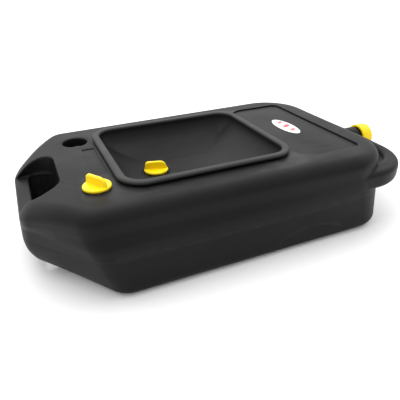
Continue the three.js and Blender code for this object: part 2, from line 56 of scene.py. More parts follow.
SEAM_HEIGHT = 62
NOSE_ZONE = 128.5  # nose tip to the basin
PANEL_LENGTH = 110  # basin to the far edge of the panel recess
END_MARGIN = 43  # panel recess to the end wall
SIDE_MARGIN = 53  # basin to the side wall
DECK_EDGE_RADIUS = 20
NOSE_DROP = 28  # how far the deck falls towards the nose tip
NOSE_SLOPE_LENGTH = 74
LAP_HEIGHT = 5  # the lower shell's tongue inside the upper shell
LAP_THICKNESS = 1.8
LAP_GAP = 0.7

SLOT_WIDTH = 40
SLOT_HALF_THROAT = 57
SLOT_CORNER_RADIUS = 26
SLOT_TIP_RADIUS = 7
GRIP_THICKNESS = 22  # nose tip to the slot
GRIP_DROP = 30  # deck to the top of the grip bar
SCOOP_FLARE = 23  # how much wider the scoop is at the deck than the slot, on each side
SCOOP_TIP_TAPER = 17  # how much narrower it is at the nose tip

LOOP_REACH = 52  # end wall to the outside of the loop handle
LOOP_THICKNESS = 17
LOOP_DROP = 29  # deck to the top of the loop
LOOP_DEPTH = 29  # height of the loop's bar
LOOP_HALF_WIDTH = 166
LOOP_CORNER_RADIUS = 85
LOOP_ROOT = 95  # how far the loop reaches back into the tank
LOOP_ROOT_RADIUS = 10
LOOP_BOW = 6  # how far its far side bows out in the middle
LOOP_BOW_RADIUS = 400
LOOP_GAP_HALF_WIDTH = 133  # hand space inside the loop
LOOP_GAP_CORNER_RADIUS = 58
LOOP_GAP_ROOT = 40
LOOP_EDGE_RADIUS = 8
LOOP_BELOW_SEAM = 12  # deeper below the seam than the neck's saddle hangs
SADDLE_WALL = 7  # neck to the outside of its saddle
BOSS_WALL = 2  # neck to the outside of the boss on the end wall
BOSS_HEIGHT = 1.5

RIM_HEIGHT = 8
RIM_WIDTH = 12.5
RIM_UNDERCUT = 2.4
BASIN_DEPTH = 44  # rim to the drain seat
BASIN_CORNER_RADIUS = 38
BASIN_FALL_SHARE = 0.05  # rise of the floor for each millimetre from the drain
BOWL_REACH = 70  # rim to the flat of the floor
SEAT_MARGIN = 2  # the drain seat's edge to the plug's flange

POCKET_RADIUS = 19.5
POCKET_DEPTH = 40
LUG_RADIUS = 7
LUG_HEIGHT = 6
LUG_BELOW_DECK = 0.4
LUG_REACH = 4.5  # how far the lug reaches into the pocket
LABEL_RECESS_WIDTH = 19
LABEL_RECESS_DEPTH = 1.2
LABEL_CORNER_RADIUS = 2.5
LABEL_GAP = 18  # label recess to the vent plug and to the pocket
LABEL_OFFSET = 3  # how far its far side lies past the vent plug's flange
PANEL_DEPTH = 2.5
PANEL_SIDE_REACH = 6  # how far the panel runs past the basin's sides
PANEL_EDGE_RADIUS = 12
PANEL_NEAR_RADIUS = 32  # the corners beside the basin
FINGER_GRIP_RADIUS = 115  # arc of the finger grip low on each side wall
FINGER_GRIP_RISE = 33
FINGER_GRIP_DEPTH = 1.6
FINGER_GRIP_FROM_END = 156

FLANGE_RADIUS = 20
FLANGE_TRIM = 1.3  # the moulded flange is this much smaller than its seat's nominal size
FLANGE_THICKNESS = 3.6
SHANK_RADIUS = 16
SHANK_WALL = 2.6
SHANK_LENGTH = 15
FIN_HEIGHT = 12
FIN_THICKNESS = 6
SEAL_THICKNESS = 1.2
BUSH_WALL = 3
BUSH_LENGTH = 16
BUSH_FLANGE = 4
THREAD_PITCH = 5
RIDGE_RADIUS = 1
THREAD_PLAY = 1.6  # shank to bore, across which the two ridges overlap
THREAD_TURNS = 2
BUSH_THREAD_RISE = 2.5  # the bush's end to its ridge
SHANK_THREAD_RISE = 4.5  # the shank's end to its ridge
NECK_THREAD_FALL = 14.5  # the neck's tip to where its ridge and the cap's start

NECK_RADIUS = 19.6
NECK_BORE_RADIUS = 14
NECK_THREAD_RADIUS = 17
CAP_STAND_OFF = 5
CAP_WALL = 2.4
CAP_RIBS = 40
CAP_RIB_DEPTH = 0.35
LINER_THICKNESS = 1.5

BASIN_PLUG_TURN = -15  # degrees
VENT_PLUG_TURN = -57

DROP_SPACING = 20  # between the drops printed on the sticker
MIDDLE_DROP = 9.5  # half its length
SIDE_DROP = 7

TANK_VOXEL = 1.3  # the remeshing that rounds each edge, in mm
TRAY_VOXEL = 0.9
PLUG_VOXEL = 0.38
CORNER_STEPS = 20  # points on the arc of an outline's corner
SIDE_SPLIT = 14  # extra points along each side of a curved wall

# ---------------------------------------------------------------- light and camera, in metres
HORIZON_LIGHT = 0.8
ZENITH_LIGHT = 1.6
FRONT_LIGHT = 0.55  # share of the surround's light from the near side, -Y
BACK_LIGHT = 1.5  # and from the far side, +Y
OVERHEAD_PLACE = (-0.2, 0.3, 1.6)
OVERHEAD_SIZE = 1.3
OVERHEAD_POWER = 9
FLOOR_REACH = 9
CAMERA_PLACE = (-0.28125, -0.56875, 0.370)
CAMERA_PITCH = 29.435  # degrees below level
CAMERA_HEADING = 23.541  # degrees from +Y towards +X
CAMERA_ROLL = -0.931
CAMERA_LENS = 37.2  # mm, on a 36 mm sensor


# ---------------------------------------------------------------- places, from the frame
def box_mm(node):
    low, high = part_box(node)
    return np.array(low) * 1000, np.array(high) * 1000


def middle_mm(node):
    low, high = box_mm(node)
    return (low + high) / 2


tray_low, tray_high = box_mm("basin_tray")
cap_low, cap_high = box_mm("spout_cap")
sticker_low, sticker_high = box_mm("oval_sticker")
BASIN_MIN_X, BASIN_MAX_X = tray_low[0], tray_high[0]
BASIN_HALF_WIDTH = tray_high[1]
RIM_TOP = tray_high[2]
DECK = RIM_TOP - RIM_HEIGHT
NOSE_X = BASIN_MIN_X - NOSE_ZONE
PANEL_MAX_X = BASIN_MAX_X + PANEL_LENGTH
END_X = PANEL_MAX_X + END_MARGIN
HALF_WIDTH = BASIN_HALF_WIDTH + SIDE_MARGIN
DRAIN_X = middle_mm("basin_drain_bush")[0]
DRAIN_SEAT = RIM_TOP - BASIN_DEPTH
VENT_X = middle_mm("vent_bush")[0]
VENT_Y = -middle_mm("vent_bush")[1]
SLOT_MIN_X = NOSE_X + GRIP_THICKNESS
SLOT_MAX_X = SLOT_MIN_X + SLOT_WIDTH
SPOUT_HEIGHT = middle_mm("spout_neck")[2]
CAP_TIP_X = cap_high[0]
SHOULDER_X = cap_low[0] - CAP_STAND_OFF
NECK_TIP_X = box_mm("spout_neck")[1][0]
LOOP_TOP = DECK - LOOP_DROP
BUSH_BORE = SHANK_RADIUS + THREAD_PLAY
UPPER_WALL = DECK - DECK_EDGE_RADIUS - SEAM_HEIGHT - LAP_HEIGHT
COVE_LOW = SEAM_HEIGHT + LAP_HEIGHT + 0.23 * UPPER_WALL
COVE_HIGH = SEAM_HEIGHT + LAP_HEIGHT + 0.77 * UPPER_WALL

# Half of the tank's plan as (x, y, radius) corners at three levels: foot, tub and deck. The foot's
# corners reach the tub's at the height of rise.
NOSE_CORNER = {
    "foot": (NOSE_X + 41, HALF_WIDTH - 146, 40),
    "tub": (NOSE_X, HALF_WIDTH - 106, 34),
    "deck": (NOSE_X + 2, HALF_WIDTH - 98, 40),
    "rise": 56,
}
SHOULDER_CORNER = {
    "foot": (NOSE_X + 114, HALF_WIDTH - 17, 24),
    "tub": (NOSE_X + 101, HALF_WIDTH - 3, 30),
    "deck": (NOSE_X + 73, HALF_WIDTH - 12, 34),
    "rise": 16,
}
END_CORNER = {
    "foot": (END_X - 26, HALF_WIDTH - 17, 40),
    "tub": (END_X - 10, HALF_WIDTH, 46),
    "deck": (END_X, HALF_WIDTH, 80),
    "rise": 16,
}


# ---------------------------------------------------------------- meshes from outlines
def mesh_object(name, points, faces):
    mesh = bpy.data.meshes.new(name)
    mesh.from_pydata((np.asarray(points, float) / 1000).tolist(), [], faces)
    builder = bmesh.new()
    builder.from_mesh(mesh)
    bmesh.ops.remove_doubles(builder, verts=builder.verts, dist=1e-6)
    bmesh.ops.recalc_face_normals(builder, faces=builder.faces)
    builder.to_mesh(mesh)
    builder.free()
    piece = bpy.data.objects.new(name, mesh)
    bpy.context.scene.collection.objects.link(piece)
    return piece


def unit(vector):
    return vector / np.linalg.norm(vector)


def inset_corners(corners, inset):
    """Moves each side of a convex, anticlockwise polygon of (x, y, radius) corners inwards."""
    moved = []
    for i, (x, y, radius) in enumerate(corners):
        here = np.array([x, y], float)
        into = unit(here - corners[i - 1][:2])
        away = unit(np.array(corners[(i + 1) % len(corners)][:2]) - here)
        cross = into[0] * away[1] - into[1] * away[0]
        along = inset * (1 - into @ away) / cross
        x, y = here - into * along + inset * np.array([-into[1], into[0]])
        moved.append((x, y, max(radius - inset, 1)))
    return moved


def rounded(corners, steps=CORNER_STEPS, split=0):
    """The points of an outline whose (x, y, radius) corners are rounded by arcs, with split more
    points along each side. A corner with no radius stays sharp."""
    arcs = []
    for i, (x, y, radius) in enumerate(corners):
        here = np.array([x, y], float)
        if radius == 0:
            arcs.append([here])
            continue
        into = unit(here - corners[i - 1][:2])
        away = unit(np.array(corners[(i + 1) % len(corners)][:2]) - here)
        turn = math.atan2(into[0] * away[1] - into[1] * away[0], into @ away)
        start = here - into * radius * math.tan(abs(turn) / 2)
        centre = start + math.copysign(radius, turn) * np.array([-into[1], into[0]])
        spoke = complex(*(start - centre))
        spokes = [spoke * complex(math.cos(a), math.sin(a)) for a in np.linspace(0, turn, steps + 1)]
        arcs.append([centre + (s.real, s.imag) for s in spokes])
    points = []
    for i, arc in enumerate(arcs):
        points.extend(arc)
        last, following = arc[-1], arcs[(i + 1) % len(arcs)][0]
        points.extend(last + (following - last) * k / (split + 1) for k in range(1, split + 1))
    return np.array(points)


def outline(corners, inset=0, split=0):
    return rounded(inset_corners(corners, inset), split=split)


def ring_at(plan, z):
    return np.column_stack([plan, np.full(len(plan), float(z))])


def lofted(name, rings, closed=False):
    """A closed surface through rings of as many points each. It has a cap at each end, unless the
    last ring joins the first one."""
    size = len(rings[0])
    faces = []
    for level in range(len(rings) if closed else len(rings) - 1):
        low = level * size
        high = (level + 1) % len(rings) * size
        for i in range(size):
            j = (i + 1) % size
            faces.append((low + i, low + j, high + j, high + i))
    if not closed:
        faces.append(tuple(range(size)))
        faces.append(tuple(range((len(rings) - 1) * size, len(rings) * size)))
    return mesh_object(name, np.concatenate(rings), faces)


def prism(name, plan, bottom, top):
    return lofted(name, [ring_at(plan, bottom), ring_at(plan, top)])


def rectangle(min_x, max_x, min_y, max_y, radius=0):
    ends = [(min_x, min_y), (max_x, min_y), (max_x, max_y), (min_x, max_y)]
    return [(x, y, radius) for x, y in ends]


def turned(name, profile, segments=96):
    """A body of revolution about Z from a closed outline of (radius, z) points."""
    rings = []
    for angle in np.linspace(0, 2 * math.pi, segments, endpoint=False):
        radius, z = np.asarray(profile, float).T
        rings.append(np.column_stack([radius * math.cos(angle), radius * math.sin(angle), z]))
    return lofted(name, rings, closed=True)


def cylinder(name, radius, bottom, top, segments=96):
    return turned(name, [(0, bottom), (radius, bottom), (radius, top), (0, top)], segments)


def thread_ridge(radius, start, turns, phase=0.0):
    """A half-round screw ridge that thins out at both ends. All ridges lie on one helix, so that two
    which differ by half a turn of phase pass between each other."""
    around = np.linspace(0, 2 * math.pi, 10, endpoint=False)
    rings = []
    for share in np.linspace(0, 1, round(turns * 48) + 1):
        angle = 2 * math.pi * (share * turns + start / THREAD_PITCH)
        z = start + share * turns * THREAD_PITCH + phase * THREAD_PITCH
        size = RIDGE_RADIUS * min(1, 0.25 + 12 * min(share, 1 - share))
        reach = radius + size * np.cos(around)
        ring = [reach * math.cos(angle), reach * math.sin(angle), z + size * np.sin(around)]
        rings.append(np.column_stack(ring))
    return lofted("ridge", rings)


# ---------------------------------------------------------------- changes to a whole piece
def bake(piece):
    """Applies a piece's modifiers to its mesh."""
    graph = bpy.context.evaluated_depsgraph_get()
    mesh = bpy.data.meshes.new_from_object(piece.evaluated_get(graph), depsgraph=graph)
    piece.modifiers.clear()
    piece.data = mesh
    return piece


def combine(piece, tool, operation):
    modifier = piece.modifiers.new("combine", "BOOLEAN")
    modifier.operation = operation
    modifier.solver = "MANIFOLD"
    modifier.object = tool
    bake(piece)
    bpy.data.objects.remove(tool)
    return piece


def cut(piece, *tools):
    for tool in tools:
        combine(piece, tool, "DIFFERENCE")
    return piece


def join(piece, *tools):
    for tool in tools:
        combine(piece, tool, "UNION")
    return piece


def copy_of(piece, name):
    copy = bpy.data.objects.new(name, piece.data.copy())
    bpy.context.scene.collection.objects.link(copy)
    return copy


def soften(piece, voxel, smoothing):
    """Rounds every edge a little, as moulding does: an even remesh, then smoothing."""
    remesh = piece.modifiers.new("remesh", "REMESH")
    remesh.mode = "VOXEL"
    remesh.voxel_size = voxel / 1000
    smooth = piece.modifiers.new("smooth", "SMOOTH")
    smooth.factor = 0.5
    smooth.iterations = smoothing
    return bake(piece)


def thin_out(piece, keep):
    modifier = piece.modifiers.new("decimate", "DECIMATE")
    modifier.ratio = keep
    return bake(piece)


def shade(piece, sharp_angle=50):
    """Smooth shading, with a crease at each edge sharper than sharp_angle degrees."""
    builder = bmesh.new()
    builder.from_mesh(piece.data)
    for face in builder.faces:
        face.smooth = True
    for edge in builder.edges:
        edge.smooth = len(edge.link_faces) == 2 and edge.calc_face_angle() < math.radians(sharp_angle)
    builder.to_mesh(piece.data)
    builder.free()
    return piece


def move(piece, matrix):
    piece.data.transform(matrix)
    return piece


def shifted(piece, x, y, z):
    return move(piece, Matrix.Translation(Vector((x, y, z)) / 1000))


def along_spout(piece):
    """Stands a piece made about Z on the spout's axis, with its +Z along +X."""
    return shifted(move(piece, Matrix.Rotation(math.pi / 2, 4, "Y")), 0, 0, SPOUT_HEIGHT)


# ---------------------------------------------------------------- the tank's form
def smoothstep(value, low, high):
    share = min(max((value - low) / (high - low), 0), 1)
    return share * share * (3 - 2 * share)


def mix(a, b, share):
    return tuple(p + (q - p) * share for p, q in zip(a, b))


def corner_at(corner, z):
    if z < corner["rise"]:
        left = 1 - z / corner["rise"]
        return mix(corner["foot"], corner["tub"], math.sqrt(1 - left * left))
    share = min((z - corner["rise"]) / (COVE_HIGH - corner["rise"]), 1)
    x, _, radius = mix(corner["tub"], corner["deck"], share)
    _, y, _ = mix(corner["tub"], corner["deck"], smoothstep(z, COVE_LOW, COVE_HIGH))
    return x, y, radius


def tank_corners(z):
    left = [corner_at(corner, z) for corner in (END_CORNER, SHOULDER_CORNER, NOSE_CORNER)]
    right = [(x, -y, radius) for x, y, radius in reversed(left)]
    return right + left


def with_nose_fall(points):
    """Lowers points by the fall of the deck towards the nose, fully at the deck."""
    left = np.clip(1 - (points[:, 0] - NOSE_X) / NOSE_SLOPE_LENGTH, 0, 1)
    share = np.clip(points[:, 2] - COVE_LOW, 0, None) / (DECK - COVE_LOW)
    fallen = points.copy()
    fallen[:, 2] -= NOSE_DROP * left * left * share
    return fallen


def tank_ring(z, inset):
    return with_nose_fall(ring_at(outline(tank_corners(z), inset, split=SIDE_SPLIT), z))


def tank_form(name, bottom, top, inset):
    """The tank's whole outer form, from its foot to its deck, moved inwards by inset."""
    foot = [END_CORNER["rise"] * (1 - math.cos(a)) for a in np.linspace(0, math.pi / 2, 9)]
    radius = DECK_EDGE_RADIUS - inset
    walls = [*foot, *np.linspace(20, COVE_LOW, 16), *np.linspace(COVE_LOW + 2, top - radius, 14)]
    rings = [tank_ring(max(z, bottom), inset) for z in walls if z >= bottom or z == foot[0]]
    for angle in np.linspace(0, math.pi / 2, 13)[1:]:
        z = top - radius * (1 - math.sin(angle))
        rings.append(tank_ring(z, inset + radius * (1 - math.cos(angle))))
    deck_steps = (5, 12, 20, 30, 42, 55, 70, 85)
    rings.extend(tank_ring(top, inset + radius + step) for step in deck_steps)
    return lofted(name, rings)


def slot_plan(grown, min_x, tip_reach, reach):
    corners = [
        (min_x, -tip_reach, SLOT_TIP_RADIUS),
        (SLOT_MAX_X, -reach, SLOT_CORNER_RADIUS),
        (SLOT_MAX_X, reach, SLOT_CORNER_RADIUS),
        (min_x, tip_reach, SLOT_TIP_RADIUS),
    ]
    return outline(corners, -grown)


def slot_tube(grown):
    plan = slot_plan(grown, SLOT_MIN_X, SLOT_HALF_THROAT, SLOT_HALF_THROAT)
    return prism("slot_tube", plan, -PAST, DECK - GRIP_DROP - grown + 1)


def slot_scoop(grown):
    """The dished scoop above the grip bar, open at the nose tip and at the deck."""
    grip_top = DECK - GRIP_DROP - grown
    rings = []
    for angle in np.linspace(0, math.pi / 2, 14):
        reach = SLOT_HALF_THROAT + SCOOP_FLARE * math.sin(angle)
        tip_reach = SLOT_HALF_THROAT - SCOOP_TIP_TAPER * math.sin(angle)
        z = grip_top + GRIP_DROP * (1 - math.cos(angle))
        rings.append(ring_at(slot_plan(grown, NOSE_X - PAST, tip_reach, reach), z))
    rings.append(rings[-1] + (0, 0, PAST))
    return lofted("slot_scoop", rings)


def panel_corners():
    reach = BASIN_HALF_WIDTH + PANEL_SIDE_REACH
    return [
        (BASIN_MAX_X + GAP, -reach, PANEL_NEAR_RADIUS),
        (PANEL_MAX_X, -reach, PANEL_EDGE_RADIUS),
        (PANEL_MAX_X, reach, PANEL_EDGE_RADIUS),
        (BASIN_MAX_X + GAP, reach, PANEL_NEAR_RADIUS),
    ]


def label_corners():
    reach = VENT_Y - FLANGE_RADIUS - LABEL_GAP
    far_x = VENT_X + FLANGE_RADIUS + LABEL_OFFSET
    return rectangle(far_x - LABEL_RECESS_WIDTH, far_x, -reach, reach, LABEL_CORNER_RADIUS)


def recess_cutter(name, corners, depth, lip):
    """Cuts a recess into the deck. Its upper edge is rounded over by lip."""
    rings = [ring_at(outline(corners), DECK - depth)]
    for angle in np.linspace(0, math.pi / 2, 6):
        inset = -lip * (1 - math.cos(angle))
        rings.append(ring_at(outline(corners, inset), DECK - lip + lip * math.sin(angle)))
    rings.append(rings[-1] + (0, 0, PAST))
    return lofted(name, rings)


def pocket_cutter(grown):
    pocket = cylinder("pocket", POCKET_RADIUS + grown, DECK - POCKET_DEPTH - grown, DECK + PAST)
    return shifted(pocket, VENT_X, VENT_Y, 0)


def pocket_lug():
    low, high = DECK - LUG_HEIGHT, DECK - LUG_BELOW_DECK
    profile = [(0, low, 0), (LUG_RADIUS, low, 0), (LUG_RADIUS, high, 1.5), (0, high, 0)]
    lug = turned("lug", rounded(profile, steps=6))
    return shifted(lug, VENT_X, VENT_Y - POCKET_RADIUS - LUG_RADIUS + LUG_REACH, 0)


def finger_grip(side):
    """The shallow arched grip low on a side wall, laid along the wall's slight slant."""
    (from_x, from_y, _), (to_x, to_y, _) = SHOULDER_CORNER["tub"], END_CORNER["tub"]
    middle = END_X - FINGER_GRIP_FROM_END
    wall_y = from_y + (to_y - from_y) * (middle - from_x) / (to_x - from_x)
    lean = math.atan2(to_y - from_y, to_x - from_x)
    disc = cylinder("finger_grip", FINGER_GRIP_RADIUS, -FINGER_GRIP_DEPTH, PAST, 256)
    move(disc, Matrix.Rotation(-side * math.pi / 2, 4, "X"))
    shifted(disc, 0, 0, FINGER_GRIP_RISE - FINGER_GRIP_RADIUS)
    move(disc, Matrix.Rotation(side * lean, 4, "Z"))
    return shifted(disc, middle, side * wall_y, 0)


def loop_corners(root_x, far_x, half_width, radius):
    return [
        (root_x, -half_width, LOOP_ROOT_RADIUS),
        (far_x - LOOP_BOW, -half_width, radius),
        (far_x, 0, LOOP_BOW_RADIUS),
        (far_x - LOOP_BOW, half_width, radius),
        (root_x, half_width, LOOP_ROOT_RADIUS),
    ]


def loop_side(corners, way):
    """Rings up one side of the loop's bar, with its foot and its top rounded. way is 1 for the outside
    and -1 for the inside."""
    angles = np.linspace(0, math.pi / 2, 9)
    edge = [(1 - math.sin(angle), 1 - math.cos(angle)) for angle in angles]
    rings = []
    for inset, rise in edge:
        plan = outline(corners, way * LOOP_EDGE_RADIUS * inset)
        rings.append(ring_at(plan, LOOP_TOP - LOOP_DEPTH + LOOP_EDGE_RADIUS * rise))
    for inset, fall in reversed(edge):
        plan = outline(corners, way * LOOP_EDGE_RADIUS * inset)
        rings.append(ring_at(plan, LOOP_TOP - LOOP_EDGE_RADIUS * fall))
    return rings


def loop_handle():
    """The bar that bends round the spout, with its saddle for the neck."""
    outer = END_X + LOOP_REACH
    inner = outer - LOOP_THICKNESS
    outside = loop_corners(END_X - LOOP_ROOT, outer, LOOP_HALF_WIDTH, LOOP_CORNER_RADIUS)
    inside = loop_corners(END_X - LOOP_GAP_ROOT, inner, LOOP_GAP_HALF_WIDTH, LOOP_GAP_CORNER_RADIUS)
    rings = loop_side(outside, 1) + loop_side(inside, -1)[::-1]
    bar = lofted("loop", rings, closed=True)
    saddle_radius = NECK_RADIUS + SADDLE_WALL
    saddle = along_spout(cylinder("saddle", saddle_radius, inner + 1, outer - 1))
    reach = saddle_radius + 1
    above = rounded(rectangle(END_X, CAP_TIP_X, -reach, reach))
    cut(saddle, prism("above", above, SPOUT_HEIGHT, RIM_TOP))
    neck_way = along_spout(cylinder("neck_way", NECK_RADIUS + GAP, END_X + 2, CAP_TIP_X))
    return cut(join(bar, saddle), neck_way)


def tank_solid():
    """The tank as one solid, with every feature that shows on its outside, softly rounded."""
    tank = tank_form("tank", 0, DECK, 0)
    boss = cylinder("boss", NECK_RADIUS + BOSS_WALL, END_X - 3 * WALL, END_X + BOSS_HEIGHT)
    join(tank, loop_handle(), along_spout(boss))
    cut(tank, slot_tube(0), slot_scoop(0), pocket_cutter(0))
    join(tank, pocket_lug())
    soften(tank, TANK_VOXEL, 5)
    panel = recess_cutter("panel", panel_corners(), PANEL_DEPTH, 0.8)
    label = recess_cutter("label", label_corners(), LABEL_RECESS_DEPTH, 0.6)
    return cut(tank, panel, label, finger_grip(-1), finger_grip(1))


def spout_bore(far_x):
    return along_spout(cylinder("spout_bore", NECK_BORE_RADIUS + WALL + GAP, END_X - 4 * WALL, far_x))


def tank_hollow():
    """The space inside the tank's walls, with the basin's opening and the vent's and spout's bores."""
    hollow = tank_form("hollow", WALL, DECK - WALL, WALL)
    cut(hollow, slot_tube(WALL), slot_scoop(WALL), pocket_cutter(WALL))
    cut(hollow, prism("panel", outline(panel_corners(), -WALL), DECK - PANEL_DEPTH - WALL, DECK))
    opening_plan = outline(basin_corners(), RIM_WIDTH - WALL)
    opening = prism("opening", opening_plan, DECK - BASIN_DEPTH, DECK + PAST)
    vent_bore = cylinder("vent_bore", BUSH_BORE + GAP, DECK - 2 * WALL, DECK + PAST)
    shifted(vent_bore, VENT_X, -VENT_Y, 0)
    return join(hollow, opening, vent_bore, spout_bore(END_X + PAST))


def tongue():
    """The lower shell's tongue, which stands inside the upper shell's wall. It is made of two bands
    that overlap, one in each shell."""
    rim = SEAM_HEIGHT - GAP
    low, high = rim - LAP_HEIGHT - PAST, SEAM_HEIGHT + LAP_HEIGHT + PAST

    def band(inset, *levels):
        return lofted("band", [ring_at(outline(tank_corners(z), inset), z) for z in levels])

    upper = band(WALL + LAP_GAP, rim - 1, SEAM_HEIGHT + LAP_HEIGHT)
    lower = band(WALL - 1, rim - LAP_HEIGHT, rim - 0.5)
    inner = band(WALL + LAP_GAP + LAP_THICKNESS, low, high)
    slot = slot_plan(WALL + GAP, SLOT_MIN_X, SLOT_HALF_THROAT, SLOT_HALF_THROAT)
    return cut(join(upper, lower), inner, spout_bore(END_X), prism("slot_way", slot, low, high))


def tank_shells():
    """The two shells. The whole loop handle is the upper shell's, down to the saddle below the seam."""
    tank = cut(tank_solid(), tank_hollow())
    around = rounded(rectangle(NOSE_X - PAST, CAP_TIP_X, -HALF_WIDTH - PAST, HALF_WIDTH + PAST))
    lower = copy_of(tank, "lower_shell")
    upper = tank
    upper.name = "upper_shell"
    loop_zone = rounded(rectangle(END_X, CAP_TIP_X, -HALF_WIDTH, HALF_WIDTH))
    combine(lower, prism("below", around, -PAST, SEAM_HEIGHT - SEAM_GAP), "INTERSECT")
    cut(lower, prism("loop_zone", loop_zone, -PAST, SEAM_HEIGHT))
    loop_part = copy_of(upper, "loop_part")
    below_seam = prism("below_seam", loop_zone, SEAM_HEIGHT - LOOP_BELOW_SEAM, SEAM_HEIGHT + 1)
    combine(loop_part, below_seam, "INTERSECT")
    combine(upper, prism("above", around, SEAM_HEIGHT, DECK + PAST), "INTERSECT")
    join(upper, loop_part)
    join(lower, tongue())
    for shell in (upper, lower):
        shade(thin_out(shell, 0.4), 35)
    return upper, lower


# ---------------------------------------------------------------- basin
def basin_corners():
    return rectangle(BASIN_MIN_X, BASIN_MAX_X, -BASIN_HALF_WIDTH, BASIN_HALF_WIDTH, BASIN_CORNER_RADIUS)


def bowl_share(reach):
    """How much of its depth the bowl has at a distance from the rim's inside."""
    return 0.1 + 0.9 * math.sin(math.pi / 2 * (reach / BOWL_REACH) ** 0.56)


def rise_share(reach):
    """How much of the floor's rise away from the drain applies there."""
    return math.sin(math.pi / 2 * (reach / BOWL_REACH) ** 0.8)


def basin_ring(inset, z, share):
    ring = ring_at(outline(basin_corners(), inset, split=SIDE_SPLIT), z)
    away = np.hypot(ring[:, 0] - DRAIN_X, ring[:, 1]) - FLANGE_RADIUS
    ring[:, 2] += share * BASIN_FALL_SHARE * np.clip(away, 0, None)
    return ring


def basin_tray():
    top = RIM_TOP
    foot = DECK + GAP
    lip = [
        (RIM_WIDTH - WALL + 0.6, DECK, 0),
        (RIM_WIDTH - WALL, top - WALL, 1),
        (WALL + RIM_UNDERCUT, top - WALL, 1),
        (WALL + RIM_UNDERCUT, foot, 0.4),
        (RIM_UNDERCUT, foot, 0.5),
        (RIM_UNDERCUT, foot + 2, 0.3),
        (0, foot + 3, 1.2),
        (0.6, top, 4.2),
        (RIM_WIDTH - 0.4, top, 3.4),
        (RIM_WIDTH, top - bowl_share(0) * BASIN_DEPTH, 0),
    ]
    section = [(inset, z, 0) for inset, z in rounded(lip, steps=7)]
    bowl, under = [], []
    for reach in BOWL_REACH * np.linspace(0, 1, 34)[1:] ** 1.6:
        share = bowl_share(reach)
        z = top - share * BASIN_DEPTH
        bowl.append((RIM_WIDTH + reach, z, rise_share(reach)))
        inset = RIM_WIDTH + reach - WALL * (1 - share)
        under.append((inset, z - WALL * min(share + 0.25, 1), rise_share(reach)))
    rings = [basin_ring(*entry) for entry in [*reversed(under), *section, *bowl]]
    tray = lofted("basin_tray_fine", rings)
    seat_radius = FLANGE_RADIUS + SEAT_MARGIN
    seat_space = cylinder("seat_space", seat_radius, DRAIN_SEAT, RIM_TOP)
    seat = cylinder("seat", seat_radius, DRAIN_SEAT - WALL, DRAIN_SEAT)
    bore = cylinder("bore", BUSH_BORE + GAP, DRAIN_SEAT - 2 * WALL, RIM_TOP)
    for tool in (seat_space, seat, bore):
        shifted(tool, DRAIN_X, 0, 0)
    cut(join(cut(tray, seat_space), seat), bore)
    return shade(thin_out(soften(tray, TRAY_VOXEL, 4), 0.4), 60)


# ---------------------------------------------------------------- plugs, seals and bushes, seat at z = 0
def plug_bush(name):
    top = -WALL - GAP
    outer = BUSH_BORE + BUSH_WALL
    profile = [
        (BUSH_BORE, top - BUSH_LENGTH, 0.4),
        (outer, top - BUSH_LENGTH, 0.8),
        (outer, top - BUSH_WALL, 1.2),
        (outer + BUSH_FLANGE, top - BUSH_WALL, 0.6),
        (outer + BUSH_FLANGE, top, 0.4),
        (BUSH_BORE, top, 0.4),
    ]
    bush = turned(name, rounded(profile, steps=4))
    start = top - BUSH_LENGTH + BUSH_THREAD_RISE
    return shade(join(bush, thread_ridge(BUSH_BORE, start, THREAD_TURNS, 0.5)), 40)


def plug_seal(name):
    inner, outer = SHANK_RADIUS + GAP, FLANGE_RADIUS - FLANGE_TRIM - 0.6
    section = rectangle(inner, outer, GAP, GAP + SEAL_THICKNESS, 0.5)
    return shade(turned(name, rounded(section, steps=5)), 40)


def plug_fin():
    base = 2 * GAP + SEAL_THICKNESS + FLANGE_THICKNESS - 1
    top = base + FIN_HEIGHT + 1
    foot = FLANGE_RADIUS - FLANGE_TRIM - 0.8
    side = [(-foot, base, 0.5), (foot, base, 0.5), (foot - 4.5, top, 10), (-foot + 2, top, 5)]
    rounding = 2.2
    rings = []
    for angle in np.linspace(-math.pi / 2, math.pi / 2, 13):
        across = math.copysign(FIN_THICKNESS / 2 - rounding, angle) + rounding * math.sin(angle)
        plan = outline(side, rounding * (1 - math.cos(angle)))
        rings.append(np.column_stack([plan[:, 0], np.full(len(plan), across), plan[:, 1]]))
    return lofted("fin", rings)


def wing_plug(name, turn):
    under = 2 * GAP + SEAL_THICKNESS
    face = under + FLANGE_THICKNESS
    bottom = under - SHANK_LENGTH - WALL
    hollow = SHANK_RADIUS - SHANK_WALL
    profile = [
        (0, under, 0),
        (hollow, under, 0.8),
        (hollow, bottom, 0.6),
        (SHANK_RADIUS, bottom, 1.2),
        (SHANK_RADIUS, under, 0),
        (FLANGE_RADIUS - FLANGE_TRIM, under, 0.8),
        (FLANGE_RADIUS - FLANGE_TRIM, face, 1.7),
        (0, face + 0.4, 0),
    ]
    plug = turned(name, rounded(profile, steps=6))
    start = -WALL - SHANK_LENGTH + SHANK_THREAD_RISE
    join(plug, plug_fin(), thread_ridge(SHANK_RADIUS, start, THREAD_TURNS))
    move(plug, Matrix.Rotation(math.radians(turn), 4, "Z"))
    return shade(thin_out(soften(plug, PLUG_VOXEL, 5), 0.35), 60)


